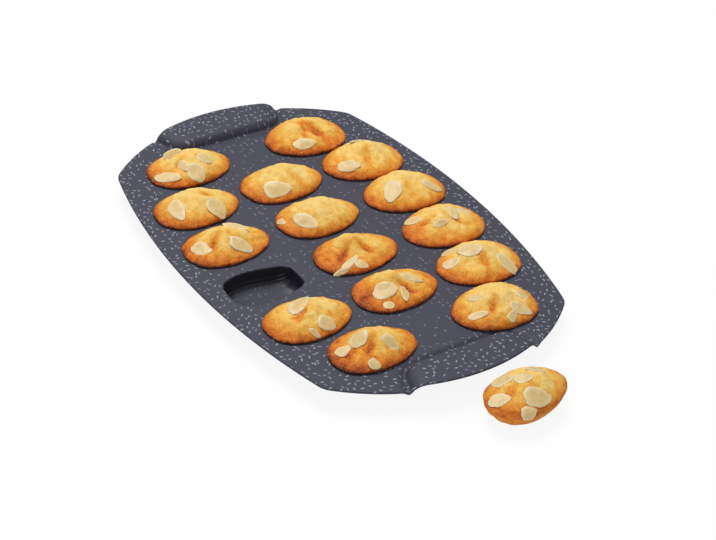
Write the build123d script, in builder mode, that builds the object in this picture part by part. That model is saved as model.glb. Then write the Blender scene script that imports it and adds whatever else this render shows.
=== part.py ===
import os
from math import copysign, cos, pi, radians, sin, tan

from build123d import *

os.makedirs("parts", exist_ok=True)

# A flexible silicone tray for madeleines, with the cakes that were baked in it
# Millimetres, +Z up, +X along the tray to the near handle, +Y to its right-hand side
# The origin is on the shelf, under the middle of the tray

# Driving dimensions of the tray
tray_length = 401.0
tray_width = 283.6
side_radius = 545.0
end_radius = 180.0
corner_radius = 18.0
web_thickness = 1.8
rim_width = 5.0
rim_thickness = 2.4
rim_round = 1.0

# Driving dimensions of one cup, whose narrow hinge end points along +Y before it is turned
cup_length = 64.0
cup_width = 40.8
cup_depth = 16.0
cup_wall = 2.0
mouth_bevel = 1.6
foot_trim = 0.5
flute_count = 8
flute_depth_share = 0.045
bowl_squareness = 2.7
shell_facets = 10

# Where the cups stand, row by row, measured from the middle of the tray
end_row_x = 136.4
second_row_x = 83.0
middle_row_x = 28.0
end_row_y = 59.9
second_row_y = 84.7
middle_row_y = 90.0
empty_cup = "row4_left"

# Driving dimensions of the raised handle at each end
handle_height = 6.2
handle_wall = 2.2
handle_start = 164.5
handle_half_width = 52.0
handle_ramp = 6.0
handle_side_ramp = 11.0
handle_flare = radians(20.0)
handle_corner_round = 20.0
handle_corner_step = 8.0
handle_top_round = 5.0

# Driving dimensions of one madeleine, and where the one that was turned out lies
cake_length = 76.0
cake_width = 48.0
cake_clearance = 0.3
lip_thickness = 1.8
crown_height = 17.0
crown_facets = 9
crown_squareness = 1.25
broad_crown_share = 1.06
belly_flat = 0.4
turned_out_x = 230.2
turned_out_y = 18.0
turned_out_angle = 7.0

# Driving dimensions of one almond flake
flake_length = 20.0
flake_width = 12.0
flake_thickness = 1.2
flake_sink = 0.8
flake_sides = 8
flake_taper_share = 0.2

# One overrun serves every cut that has to run past a face
overrun = 4.0

# Levels and half sizes that follow from the dimensions above
web_top = cup_depth + cup_wall
half_cup = cup_length / 2
half_cake = cake_length / 2
lip_top = cake_clearance + lip_thickness
crown_rise = crown_height - lip_top
slope_step_share = 0.02

# Stations along a cup, from its wide end to its hinge end, as shares of its half length,
# of its half width and of its depth
cup_station_shares = (
    (-1.0, 0.42, 0.20),
    (-0.90, 0.65, 0.62),
    (-0.66, 0.86, 0.93),
    (-0.15, 1.0, 1.0),
    (0.42, 0.86, 0.95),
    (0.84, 0.67, 0.70),
    (1.0, 0.48, 0.20),
)

# Stations along a risen crown, as shares of its half length, half width and height
crown_station_shares = (
    (-1.0, 0.34, 0.04),
    (-0.86, 0.68, 0.30),
    (-0.52, 0.94, 0.70),
    (-0.05, 1.0, 1.0),
    (0.42, 0.90, 0.78),
    (0.76, 0.65, 0.38),
    (0.93, 0.40, 0.14),
    (1.0, 0.18, 0.04),
)

# The flaked almonds on each cake: where along it and across it as shares of its half sizes,
# how far turned and how far tipped in degrees, and shares of a flake's length and width
flake_shares = {
    "row1_left": (
        (-0.70, 0.46, 32, 0, 1.20, 0.83),
        (-0.28, 0.30, 81, 0, 0.63, 0.72),
        (-0.10, 0.72, 85, 0, 0.95, 1.25),
        (0.27, 0.28, 42, 0, 0.72, 0.95),
        (-0.30, -0.35, 10, 60, 0.85, 0.60),
    ),
    "row1_right": (
        (0.36, -0.72, -159, 0, 0.97, 0.93),
    ),
    "row2_left": (
        (-0.58, 0.20, 102, 0, 1.10, 1.09),
        (0.24, 0.68, 70, 0, 1.10, 1.30),
    ),
    "row2_middle": (
        (-0.39, 0.58, 22, 0, 1.20, 1.30),
    ),
    "row2_right": (
        (0.62, -0.50, -151, 0, 1.04, 1.00),
        (-0.16, 0.45, -177, 0, 1.20, 0.90),
    ),
    "row3_left": (
        (-0.66, 0.05, 61, 0, 0.86, 1.10),
        (0.13, 0.56, 48, 0, 1.15, 1.05),
        (0.30, -0.30, 50, 35, 1.10, 0.58),
    ),
    "row3_middle": (
        (-0.50, 0.37, 58, 0, 1.15, 1.03),
        (-0.88, -0.30, 74, 0, 0.47, 0.54),
    ),
    "row3_right": (
        (0.50, -0.29, -36, 0, 1.20, 1.20),
        (-0.49, -0.49, -144, 0, 1.04, 0.85),
    ),
    "row4_middle": (
        (-0.45, 0.60, -17, 0, 1.05, 0.54),
        (-0.24, 0.78, 46, 0, 0.65, 0.65),
        (-0.70, 0.84, -4, 25, 0.78, 0.40),
    ),
    "row4_right": (
        (-0.23, 0.03, -61, 15, 1.00, 0.90),
        (0.29, -0.33, -179, 0, 0.75, 0.51),
        (0.65, 0.55, -151, 0, 0.81, 0.80),
        (-0.62, 0.14, -154, 0, 0.64, 0.80),
    ),
    "row5_left": (
        (-0.14, -0.28, -15, 20, 1.15, 1.10),
        (0.14, 0.72, 45, 0, 0.81, 0.94),
        (-0.20, 0.86, 66, 10, 0.60, 0.41),
    ),
    "row5_middle": (
        (-0.39, 0.20, 11, 0, 1.03, 1.30),
        (-0.02, 0.52, 115, 0, 0.86, 0.62),
        (-0.50, 0.74, 18, 0, 0.48, 0.62),
        (0.36, 0.05, 40, 10, 0.92, 0.62),
    ),
    "row5_right": (
        (0.24, 0.10, -164, 0, 1.10, 1.15),
        (0.72, 0.10, -172, 0, 0.80, 0.80),
        (-0.39, -0.70, -115, 0, 1.15, 1.05),
        (0.50, 0.70, -150, 20, 0.70, 0.50),
    ),
    "row6_left": (
        (-0.30, -0.23, -9, 0, 0.93, 1.10),
        (-0.69, -0.20, 9, 0, 0.69, 0.83),
        (0.23, 0.38, 64, 15, 0.85, 0.76),
        (-0.34, 0.80, 53, 0, 0.53, 0.74),
    ),
    "row6_right": (
        (0.66, -0.47, -164, 0, 0.86, 0.59),
        (0.44, 0.24, -161, 0, 0.66, 0.67),
        (-0.28, -0.70, -139, 0, 1.00, 0.90),
        (-0.60, -0.20, -151, 0, 0.65, 0.90),
        (0.02, -0.84, 142, 0, 0.62, 0.65),
    ),
    "turned_out": (
        (-0.15, 0.62, 28, 0, 1.16, 1.34),
        (-0.76, -0.08, 32, 0, 0.90, 1.00),
        (-0.50, 0.88, 14, 0, 0.66, 0.85),
        (-0.38, -0.58, 32, 0, 0.95, 1.00),
        (-0.10, -0.12, 29, 0, 0.78, 0.79),
        (0.36, -0.30, 33, 0, 0.80, 0.90),
    ),
}


def tray_outline(inset):
    """Two long and two short bowed sides with soft corners, drawn in by an inset"""
    with BuildSketch() as outline:
        with Locations((end_radius - tray_length / 2, 0), (tray_length / 2 - end_radius, 0)):
            Circle(end_radius - inset)
        with Locations((0, side_radius - tray_width / 2)):
            Circle(side_radius - inset, mode=Mode.INTERSECT)
        with Locations((0, tray_width / 2 - side_radius)):
            Circle(side_radius - inset, mode=Mode.INTERSECT)
        fillet(outline.vertices(), corner_radius - inset)
    return outline.sketch


def cross_slice(along, points):
    """One upright slice across a cup or a cake, at its place along the length"""
    with BuildSketch(Plane.XZ.offset(-along)) as slice_face:
        with BuildLine():
            Polyline(*points, close=True)
        make_face()
    return slice_face.sketch


def bowl_points(half_width, depth, hang, facets, ridge_share):
    """From one side down over the floor to the other, with a ridge at every second point"""
    points = []
    for step in range(facets + 1):
        angle = pi * step / facets
        across = copysign(abs(cos(angle)) ** (2 / bowl_squareness), cos(angle))
        down = abs(sin(angle)) ** (2 / bowl_squareness)
        on_ridge = step % 2 == 0 and 0 < step < facets
        reach = 1 - ridge_share if on_ridge else 1
        points.append((half_width * across * reach, -hang - (depth - hang) * down * reach))
    return points


def hollow_slice(along, half_width, depth, bevel, flare):
    """The air in a cup: a scalloped bowl that opens into its bevelled mouth"""
    bowl = bowl_points(half_width, depth, bevel, 2 * flute_count, flute_depth_share)
    half_mouth = half_width + flare
    return cross_slice(along, [(half_mouth, overrun), (half_mouth, 0), *bowl,
                               (-half_mouth, 0), (-half_mouth, overrun)])


def crown_points(half_width, rise):
    """From the lip of a cake up over its crown and down to the lip on the other side"""
    points = [(half_width, cake_clearance)]
    for step in range(crown_facets + 1):
        angle = pi * step / crown_facets
        points.append((half_width * cos(angle), lip_top + rise * sin(angle) ** crown_squareness))
    points.append((-half_width, cake_clearance))
    return points


def crown_point(along_share, across_share, half_width):
    """A point on the surface of a crown, between two of its stations"""
    for before, after in zip(crown_station_shares, crown_station_shares[1:]):
        if along_share <= after[0]:
            break
    blend = (along_share - before[0]) / (after[0] - before[0])
    width_here = half_width * (before[1] + blend * (after[1] - before[1]))
    rise_here = crown_rise * (before[2] + blend * (after[2] - before[2]))
    bulge = (1 - across_share ** 2) ** (crown_squareness / 2)
    return Vector(across_share * width_here, along_share * half_cake, lip_top + rise_here * bulge)


def flake_plane(along_share, across_share, half_width, turn, tip):
    """The bed of one flake: it lies on the crown, just under its surface, or stands tipped"""
    centre = crown_point(along_share, across_share, half_width)
    ahead = crown_point(along_share + slope_step_share, across_share, half_width) - centre
    aside = crown_point(along_share, across_share + slope_step_share, half_width) - centre
    normal = aside.cross(ahead).normalized()
    ahead = ahead.normalized()
    long_way = ahead * cos(radians(turn)) + ahead.cross(normal) * sin(radians(turn))
    tipped = normal * cos(radians(tip)) + long_way.cross(normal) * sin(radians(tip))
    return Plane(origin=centre - normal * flake_sink, x_dir=long_way, z_dir=tipped)


# The hollow of one cup, measured down from the top of the web
end_slices = []
for side in (-1, 1):
    end_share = cup_station_shares[0 if side < 0 else -1][1]
    end_slices.append(hollow_slice(side * (half_cup + mouth_bevel), end_share * cup_width / 2,
                                   mouth_bevel / 2, 0, mouth_bevel / 2))
station_slices = []
for along_share, width_share, depth_share in cup_station_shares:
    station_slices.append(hollow_slice(along_share * half_cup, width_share * cup_width / 2,
                                       depth_share * cup_depth, mouth_bevel, mouth_bevel))
with BuildPart() as cup_hollow:
    loft([end_slices[0], *station_slices, end_slices[1]], ruled=True)

# The outside of one cup: a smooth bowl, one wall larger, that hangs from inside the web
shell_slices = []
for along_share, width_share, depth_share in cup_station_shares:
    bowl = bowl_points(width_share * cup_width / 2 + cup_wall,
                       depth_share * cup_depth + cup_wall + foot_trim,
                       web_thickness / 2, shell_facets, 0)
    shell_slices.append(cross_slice(along_share * (half_cup + cup_wall), bowl))
with BuildPart() as cup_shell:
    loft(shell_slices, ruled=True)

# Every cup's place, the turn of its hinge end, and its name
cup_places = {}
rows = ((-end_row_x, end_row_y, False), (-second_row_x, second_row_y, True),
        (-middle_row_x, middle_row_y, True), (middle_row_x, middle_row_y, True),
        (second_row_x, second_row_y, True), (end_row_x, end_row_y, False))
for row_number, (row_x, row_y, has_middle) in enumerate(rows, start=1):
    cup_places[f"row{row_number}_left"] = Location((row_x, -row_y, web_top))
    if has_middle:
        cup_places[f"row{row_number}_middle"] = Location((row_x, 0, web_top))
    cup_places[f"row{row_number}_right"] = Location((row_x, row_y, web_top), (0, 0, 180))


def handle_plan(rise, inset):
    """The handle at a height above the web, with round inner corners, flaring out past the rim"""
    climbed_share = rise / handle_height
    inner_x = handle_start + handle_ramp * climbed_share + inset
    outer_x = tray_length / 2 + overrun
    side_step = (handle_side_ramp * climbed_share + inset) / cos(handle_flare)
    half_inner = handle_half_width + (inner_x - handle_start) * tan(handle_flare) - side_step
    half_outer = handle_half_width + (outer_x - handle_start) * tan(handle_flare) - side_step
    with BuildSketch(Plane.XY.offset(web_top + rise)) as plan:
        with BuildLine():
            Polyline((inner_x, -half_inner), (outer_x, -half_outer),
                     (outer_x, half_outer), (inner_x, half_inner), close=True)
        make_face()
        fillet(plan.vertices().sort_by(Axis.X)[:2],
               handle_corner_round - handle_corner_step * climbed_share - inset)
    return plan.sketch


outline = tray_outline(0)
inner_outline = tray_outline(rim_width)

# One raised handle, cut to the tray's outline and softened on top
with BuildPart() as handle_hump:
    loft([handle_plan(0, 0), handle_plan(handle_height, 0)], ruled=True)
    with BuildSketch():
        add(outline)
    extrude(amount=web_top + handle_height + overrun, mode=Mode.INTERSECT)
    top_face = handle_hump.faces().sort_by(Axis.Z)[-1]
    outer_edge = top_face.edges().sort_by(Axis.X)[-1]
    fillet([edge for edge in top_face.edges() if edge != outer_edge], handle_top_round)

# The hollow under a handle, where fingers go in from the end of the tray
with BuildPart() as handle_hollow:
    loft([handle_plan(-rim_thickness - overrun, handle_wall),
          handle_plan(handle_height - handle_wall, handle_wall)], ruled=True)

# The tray, in one piece
with BuildPart() as mould_tray:
    with BuildSketch(Plane.XY.offset(web_top - web_thickness)):
        add(outline)
    extrude(amount=web_thickness)
    with BuildSketch(Plane.XY.offset(web_top - rim_thickness)):
        add(outline)
        add(inner_outline, mode=Mode.SUBTRACT)
    extrude(amount=rim_thickness)
    fillet(mould_tray.faces().sort_by(Axis.Z)[-1].edges(), rim_round)
    with PolarLocations(0, 2):
        add(handle_hump.part)
        add(handle_hollow.part, mode=Mode.SUBTRACT)
    with Locations(*cup_places.values()):
        add(cup_shell.part)
        add(cup_hollow.part, mode=Mode.SUBTRACT)
    split(bisect_by=Plane.XY)
mould_tray.part.label = "mould_tray"
export_step(mould_tray.part, "parts/mould_tray.step")


def slice_flakes(places, half_width):
    """The almond flakes of one cake, each a thin leaf with one end a little narrower"""
    with BuildPart() as flakes:
        for along_share, across_share, turn, tip, length_share, width_share in places:
            half_length = flake_length * length_share / 2
            half_leaf = flake_width * width_share / 2
            points = []
            for step in range(flake_sides):
                angle = 2 * pi * step / flake_sides
                narrowing = 1 - flake_taper_share * cos(angle)
                points.append((half_length * cos(angle), half_leaf * sin(angle) * narrowing))
            with BuildSketch(flake_plane(along_share, across_share, half_width, turn, tip)):
                with BuildLine():
                    Polyline(*points, close=True)
                make_face()
            extrude(amount=flake_thickness)
    return flakes.part


def bake_cake(half_width):
    """A cake in its cup: a scalloped belly that follows the hollow, under a risen crown"""
    belly_slices = []
    for along_share, width_share, depth_share in cup_station_shares:
        bowl = bowl_points(width_share * cup_width / 2 - cake_clearance,
                           depth_share * cup_depth - cake_clearance,
                           mouth_bevel, 2 * flute_count, flute_depth_share)
        neck = bowl[0][0]
        belly_slices.append(cross_slice(along_share * (half_cup - cake_clearance),
                                        [(neck, lip_top / 2), *bowl, (-neck, lip_top / 2)]))
    crown_slices = []
    for along_share, width_share, rise_share in crown_station_shares:
        points = crown_points(half_width * width_share, crown_rise * rise_share)
        crown_slices.append(cross_slice(along_share * half_cake, points))
    with BuildPart() as cake:
        loft(belly_slices, ruled=True)
        loft(crown_slices, ruled=True)
    return cake.part


# Two sizes of crown: the right-hand column rose a little broader than the rest
half_crown = cake_width / 2
half_broad_crown = half_crown * broad_crown_share
plain_cake = bake_cake(half_crown)
broad_cake = bake_cake(half_broad_crown)

# The turned-out cake lies on its belly, which is flattened a little where it rests
cake_places = {name: place for name, place in cup_places.items() if name != empty_cup}
turned_out_z = cup_depth - cake_clearance - belly_flat
cake_places["turned_out"] = Location((turned_out_x, turned_out_y, turned_out_z),
                                     (0, 0, turned_out_angle))
for name, place in cake_places.items():
    is_broad = name.endswith("_right")
    flakes = slice_flakes(flake_shares[name], half_broad_crown if is_broad else half_crown)
    with BuildPart() as madeleine:
        with Locations(place):
            add(broad_cake if is_broad else plain_cake)
            add(flakes, mode=Mode.SUBTRACT)
        split(bisect_by=Plane.XY)
    with BuildPart() as almonds:
        with Locations(place):
            add(flakes)
    madeleine.part.label = f"madeleine_{name}"
    almonds.part.label = f"almonds_{name}"
    export_step(madeleine.part, f"parts/madeleine_{name}.step")
    export_step(almonds.part, f"parts/almonds_{name}.step")
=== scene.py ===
# %% [markdown]
# # A madeleine pan, full of freshly baked madeleines
# The real pan is one moulding of dark silicone: a flat web with a thicker rim, sixteen cups
# shaped like scallop shells, and a raised handle at each short end. The CAD model holds every
# size and place, so this script starts by loading it as a fixed frame. Everything below is
# fitted to the frame and rides on one of its bodies.

# %% Load the frame
from math import atan2, cos, hypot, pi, radians, sin, tan

import bmesh
import bpy
import numpy as np
from mathutils import Matrix, Vector, noise
from mathutils.bvhtree import BVHTree
from mathutils.geometry import delaunay_2d_cdt


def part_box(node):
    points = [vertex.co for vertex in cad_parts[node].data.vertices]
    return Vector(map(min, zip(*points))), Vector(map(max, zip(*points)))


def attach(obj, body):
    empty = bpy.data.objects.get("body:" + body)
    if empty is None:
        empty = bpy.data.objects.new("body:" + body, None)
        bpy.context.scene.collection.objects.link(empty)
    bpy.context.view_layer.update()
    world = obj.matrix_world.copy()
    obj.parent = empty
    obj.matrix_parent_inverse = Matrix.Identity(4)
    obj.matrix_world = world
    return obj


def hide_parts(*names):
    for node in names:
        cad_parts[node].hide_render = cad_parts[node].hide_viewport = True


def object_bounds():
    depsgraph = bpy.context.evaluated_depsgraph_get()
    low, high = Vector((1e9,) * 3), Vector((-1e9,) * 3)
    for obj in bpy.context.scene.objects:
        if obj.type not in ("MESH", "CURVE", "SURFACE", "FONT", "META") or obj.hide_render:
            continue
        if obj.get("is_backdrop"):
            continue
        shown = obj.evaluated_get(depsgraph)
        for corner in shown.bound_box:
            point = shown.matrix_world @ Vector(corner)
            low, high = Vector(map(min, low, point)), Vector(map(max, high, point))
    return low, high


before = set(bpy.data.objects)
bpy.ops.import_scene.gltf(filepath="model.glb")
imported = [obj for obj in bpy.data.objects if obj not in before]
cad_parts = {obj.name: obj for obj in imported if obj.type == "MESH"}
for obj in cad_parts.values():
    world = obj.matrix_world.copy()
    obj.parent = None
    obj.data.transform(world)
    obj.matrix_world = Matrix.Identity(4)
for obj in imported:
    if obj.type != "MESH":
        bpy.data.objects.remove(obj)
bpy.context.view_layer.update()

# %% [markdown]
# The camera comes before the pieces, because it tells which sides need the most care. It
# stands as the photographer stood: over the near left corner of the tray, some 1.6 m away
# with a long lens, and rolled a little, so that the tray seems to slide down to the right.

# %% Place the camera
camera_place = Vector((1.04297, -0.84232, 0.96905))
camera_target = Vector((0.04573, -0.01051, 0.018))
camera_roll = radians(8.065)
camera_lens_mm = 99.95

camera = bpy.data.objects.new("photo_camera", bpy.data.cameras.new("photo_camera"))
bpy.context.scene.collection.objects.link(camera)
look = (camera_target - camera_place).normalized()
level_right = look.cross(Vector((0, 0, 1))).normalized()
level_up = level_right.cross(look)
camera_right = level_right * cos(camera_roll) + level_up * sin(camera_roll)
camera_up = level_up * cos(camera_roll) - level_right * sin(camera_roll)
camera_turn = Matrix((camera_right, camera_up, -look)).transposed().to_4x4()
camera.matrix_world = Matrix.Translation(camera_place) @ camera_turn
camera.data.lens = camera_lens_mm
bpy.context.scene.camera = camera
print("camera is", round((camera_target - camera_place).length, 3), "m from the tray")

# %% [markdown]
# A few small helpers serve the whole lesson. Colours are written as sRGB hex values, and
# Blender's shaders want linear light, so one function turns them. Another adds a shader node,
# whose inputs each take a value or the socket that feeds them, and the next are its usual
# uses. The last ones turn arrays of points and faces into smooth mesh objects.

# %% Helpers for colours, nodes and meshes
mm = 0.001


def paint(hex_colour):
    """Linear light from an sRGB hex value"""
    levels = [int(hex_colour[place:place + 2], 16) / 255 for place in (1, 3, 5)]
    return [level / 12.92 if level <= 0.04045 else ((level + 0.055) / 1.055) ** 2.4
            for level in levels] + [1.0]


def add_node(tree, kind, inputs=None, **settings):
    """A node with its settings. Each of its inputs gets a value, or the socket that feeds it"""
    node = tree.nodes.new(kind)
    for name, value in settings.items():
        setattr(node, name, value)
    for socket, value in (inputs or {}).items():
        if isinstance(value, bpy.types.NodeSocket):
            tree.links.new(value, node.inputs[socket])
        else:
            node.inputs[socket].default_value = value
    return node


def maths(tree, operation, first, second):
    """What a maths node makes of two inputs"""
    return add_node(tree, "ShaderNodeMath", {0: first, 1: second}, operation=operation).outputs[0]


def vector_maths(tree, operation, *inputs):
    """What a vector maths node makes of its inputs, of which a length is a plain value"""
    node = add_node(tree, "ShaderNodeVectorMath", dict(enumerate(inputs)), operation=operation)
    return node.outputs["Value" if operation == "LENGTH" else "Vector"]


def remap(tree, source, start, stop, low=0, high=1):
    """A level read between two others, and spread evenly from low to high"""
    return add_node(tree, "ShaderNodeMapRange", {
        "Value": source, "From Min": start, "From Max": stop, "To Min": low, "To Max": high}).outputs[0]


def mixed(tree, share, first, second):
    """A colour that lies a share of the way from one to another"""
    return add_node(tree, "ShaderNodeMix", {0: share, 6: first, 7: second}, data_type="RGBA").outputs[2]


def noise_level(tree, place, size_mm, detail, roughness=0.5):
    """Soft noise whose lumps have a size in millimetres"""
    return add_node(tree, "ShaderNodeTexNoise", {
        "Vector": place, "Scale": 1 / (size_mm * mm), "Detail": detail,
        "Roughness": roughness}).outputs["Fac"]


def new_material(name):
    """An empty material and its node tree"""
    material = bpy.data.materials.new(name)
    material.use_nodes = True
    material.node_tree.nodes.clear()
    return material, material.node_tree


def end_in_surface(tree, height, strength, depth_mm, inputs):
    """Ends a material in a principled surface that a height gives a fine bump"""
    bump = add_node(tree, "ShaderNodeBump", {
        "Height": height, "Strength": strength, "Distance": depth_mm * mm})
    surface = add_node(tree, "ShaderNodeBsdfPrincipled", {**inputs, "Normal": bump.outputs[0]})
    add_node(tree, "ShaderNodeOutputMaterial", {"Surface": surface.outputs[0]})


def add_object(name, data):
    """A new object, linked into the scene"""
    thing = bpy.data.objects.new(name, data)
    bpy.context.scene.collection.objects.link(thing)
    return thing


def mesh_piece(name, points, faces, material, shares=None):
    """A smooth mesh object from points in millimetres, with a share at each point by name"""
    mesh = bpy.data.meshes.new(name)
    mesh.from_pydata((np.asarray(points) * mm).tolist(), [], faces)
    for share_name, values in (shares or {}).items():
        attribute = mesh.attributes.new(share_name, "FLOAT", "POINT")
        attribute.data.foreach_set("value", np.asarray(values, np.float32))
    shell = bmesh.new()
    shell.from_mesh(mesh)
    bmesh.ops.recalc_face_normals(shell, faces=shell.faces)
    open_edges = sum(not edge.is_manifold for edge in shell.edges)
    shell.to_mesh(mesh)
    shell.free()
    mesh.polygons.foreach_set("use_smooth", [True] * len(mesh.polygons))
    if open_edges:
        print(name, "has", open_edges, "open edges")
    mesh.materials.append(material)
    return add_object(name, mesh)


def strip_faces(before, after):
    """Quads between two closed loops of point numbers of the same length"""
    count = len(before)
    return [(before[i], before[(i + 1) % count], after[(i + 1) % count], after[i])
            for i in range(count)]


def ease(share):
    """0 below 0, 1 above 1, and a soft turn between"""
    share = np.clip(share, 0, 1)
    return share * share * (3 - 2 * share)


print("helpers ready")

# %% [markdown]
# The tray's outline is four bowed sides with soft corners. Its points are needed as numbers,
# each with the direction that points outwards, so that the rim can be rounded ring by ring.
# Each stretch is an arc, so drawing the outline in only shortens that arc's radius.

# %% Outline of the tray
tray_length = 401.0
tray_width = 283.6
side_radius = 545.0
end_radius = 180.0
corner_radius = 18.0
end_steps, corner_steps, side_steps = 60, 24, 90
least_gap = 0.05

side_centre = np.array((0.0, tray_width / 2 - side_radius))
end_centre = np.array((tray_length / 2 - end_radius, 0.0))
side_reach = side_radius - corner_radius
end_reach = end_radius - corner_radius
centre_gap = hypot(*(side_centre - end_centre))
towards_side = (side_centre - end_centre) / centre_gap
along_gap = (end_reach ** 2 - side_reach ** 2 + centre_gap ** 2) / (2 * centre_gap)
off_gap = (end_reach ** 2 - along_gap ** 2) ** 0.5
corner_centre = (end_centre + towards_side * along_gap
                 + np.array((-towards_side[1], towards_side[0])) * off_gap)
end_stop = atan2(corner_centre[1] - end_centre[1], corner_centre[0] - end_centre[0])
side_start = atan2(corner_centre[1] - side_centre[1], corner_centre[0] - side_centre[0])

quarter = []
for centre, radius, start, stop, count in (
        (end_centre, end_radius, 0, end_stop, end_steps),
        (corner_centre, corner_radius, end_stop, side_start, corner_steps),
        (side_centre, side_radius, side_start, pi / 2, side_steps)):
    for step in range(count):
        quarter.append((*centre, radius, start + (stop - start) * step / count))
quarter = np.array(quarter)
normals = np.stack((np.cos(quarter[:, 3]), np.sin(quarter[:, 3])), 1)
places = quarter[:, :2] + normals * quarter[:, 2:3]
outline, outline_ways = (
    np.concatenate([values[::x_side * y_side] * (x_side, y_side)
                    for x_side, y_side in ((1, 1), (-1, 1), (-1, -1), (1, -1))])
    for values in (places, normals))
apart = np.linalg.norm(outline - np.roll(outline, 1, 0), axis=1) > least_gap
outline = outline[apart]
outline_ways = outline_ways[apart]
print("outline of", len(outline), "points")

# %% [markdown]
# Each handle is a low pillow raised out of the web, open underneath for the fingers. It is
# simplest as a height over the plan: how far a place lies inside the handle's foot, as a share
# of the climb there. The climb starts steeply and rounds off softly on top, and a faint groove
# follows the foot.

# %% Height of the web and of the handles
web_top = 18.0
web_thickness = 1.8
rim_thickness = 2.2
handle_height = 6.2
handle_wall = 2.2
handle_start = 164.5
handle_half_width = 52.0
flare = radians(20)
handle_corner = 20.0
handle_climb = 7.5
handle_side_climb = 13.0
climb_power = 0.72
groove_depth = 2.0
groove_half_width = 2.4
groove_outside = 2.3
corner_x = handle_start + handle_corner
corner_y = handle_half_width + handle_corner * tan(flare) - handle_corner / cos(flare)


def handle_climbed(x, y):
    """How far inside a handle's foot a place lies, and its share of the climb there"""
    x, y = np.abs(x), np.abs(y)
    inside_end = x - handle_start
    inside_side = (handle_half_width + inside_end * tan(flare) - y) * cos(flare)
    ahead, beside = x - corner_x, y - corner_y
    on_arc = (beside > 0) & (ahead * cos(flare) + beside * sin(flare) < 0)
    inside = np.where(on_arc, handle_corner - np.hypot(ahead, beside),
                      np.minimum(inside_end, inside_side))
    turned = np.where(on_arc, np.arctan2(beside, np.maximum(-ahead, 0)) / (pi / 2 - flare),
                      inside_side < inside_end)
    climb = handle_climb + (handle_side_climb - handle_climb) * ease(turned)
    return inside, (1 - (1 - np.clip(inside / climb, 0, 1)) ** 2) ** climb_power


def top_level(points):
    """Height of the tray's upper face"""
    inside, climbed = handle_climbed(points[:, 0], points[:, 1])
    groove = groove_depth * np.exp(-((inside + groove_outside) / groove_half_width) ** 2)
    return web_top + handle_height * climbed - groove


def thickness(points, away_from_handles):
    """The moulding's thickness, which is the same all over a handle"""
    share = handle_climbed(points[:, 0], points[:, 1])[1]
    return away_from_handles + (handle_wall - away_from_handles) * share


print("the handles rise to", web_top + handle_height, "mm")

# %% [markdown]
# A cup is a bowl whose mouth is a rounded oblong, narrower at the hinge end of the shell, and
# whose floor and walls are scalloped by flutes that run along it. A square sheet of points is
# bent into that shape, with its lines along the flutes, so each ridge between two flutes is
# crisp. Other sizes of the same sheet make the cup's outside and the belly of every cake.

# %% Bend a square sheet into a cup
cup_length = 64.0
cup_width = 40.8
cup_depth = 16.0
cup_wall = 2.0
mouth_round = 1.6
flute_count = 8
flute_depth_share = 0.025
flute_start_share, flute_growth_share = 0.12, 0.4

# The higher a power, the boxier the bowl
cup_power = 4.4
shell_power = 3.3
mouth_power = 8.0

# Half widths along a cup, from its wide end to its hinge end, as shares
cup_taper_shares = ((-1.0, 0.50), (-0.9, 0.71), (-0.66, 0.88), (-0.15, 1.0),
                    (0.42, 0.86), (0.84, 0.71), (1.0, 0.60))


def smooth_between(stations, along):
    """A smooth curve through named shares, read at any place along them"""
    places = np.array([station[0] for station in stations])
    values = np.array([station[1] for station in stations])
    slopes = np.gradient(values, places)
    index = np.clip(np.searchsorted(places, along, side="right") - 1, 0, len(places) - 2)
    width = places[index + 1] - places[index]
    share = np.clip((along - places[index]) / width, 0, 1)
    return ((1 + 2 * share) * (1 - share) ** 2 * values[index]
            + share * (1 - share) ** 2 * width * slopes[index]
            + share * share * (3 - 2 * share) * values[index + 1]
            - share * share * (1 - share) * width * slopes[index + 1])


def spread(count, power):
    """Places from -1 to 1 that crowd towards the ends, where a bowl's walls stand steep"""
    angles = np.linspace(pi, 0, count + 1)
    return np.sign(np.cos(angles)) * np.abs(np.cos(angles)) ** (2 / power), angles


def bent_square(u, v, power, taper_shares):
    """A square's places bent into a tapering oval, as shares of its half width and half length"""
    corner = 0.5 ** (1 / power)
    x_share = u * (1 - (corner * np.abs(v)) ** power) ** (1 / power)
    y_share = v * (1 - (corner * np.abs(u)) ** power) ** (1 / power)
    return smooth_between(taper_shares, y_share) * x_share, y_share


def numbered(rows, columns):
    """The numbers of a sheet's points, row by row, and of those along its edge in order"""
    number = np.arange((rows + 1) * (columns + 1)).reshape(rows + 1, columns + 1)
    edge = np.concatenate((number[0, :-1], number[:-1, -1], number[-1, :0:-1], number[:0:-1, 0]))
    return number, edge.tolist()


def bowl_sheet(half_length, half_width, hang, depth, columns, rows, flute_share,
               wall_power, outline_power=mouth_power, taper_shares=cup_taper_shares):
    """Points of a bowl, row by row from its wide end, and their numbers"""
    across, angles = spread(columns, wall_power)
    along, _ = spread(rows, wall_power)
    u, v = np.meshgrid(across, along)
    ridge = np.meshgrid(1 - np.abs(np.sin(flute_count * angles)), along)[0]
    x_share, y_share = bent_square(u, v, outline_power, taper_shares)
    sunk = ((1 - np.abs(u) ** wall_power) * (1 - np.abs(v) ** wall_power)) ** (1 / wall_power)
    reach = 1 - flute_share * ridge * ease((sunk - flute_start_share) / flute_growth_share)
    x = half_width * x_share * reach
    y = half_length * y_share * reach
    z = -hang - (depth - hang) * sunk * reach
    points = np.stack((x, y, z), -1).reshape(-1, 3)
    return points, *numbered(rows, columns)


def sheet_faces(number, start):
    """Quads of a bent sheet, facing up into the bowl"""
    number = number + start
    corners = np.stack((number[:-1, :-1], number[:-1, 1:], number[1:, 1:], number[1:, :-1]), -1)
    return corners.reshape(-1, 4).tolist()


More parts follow.
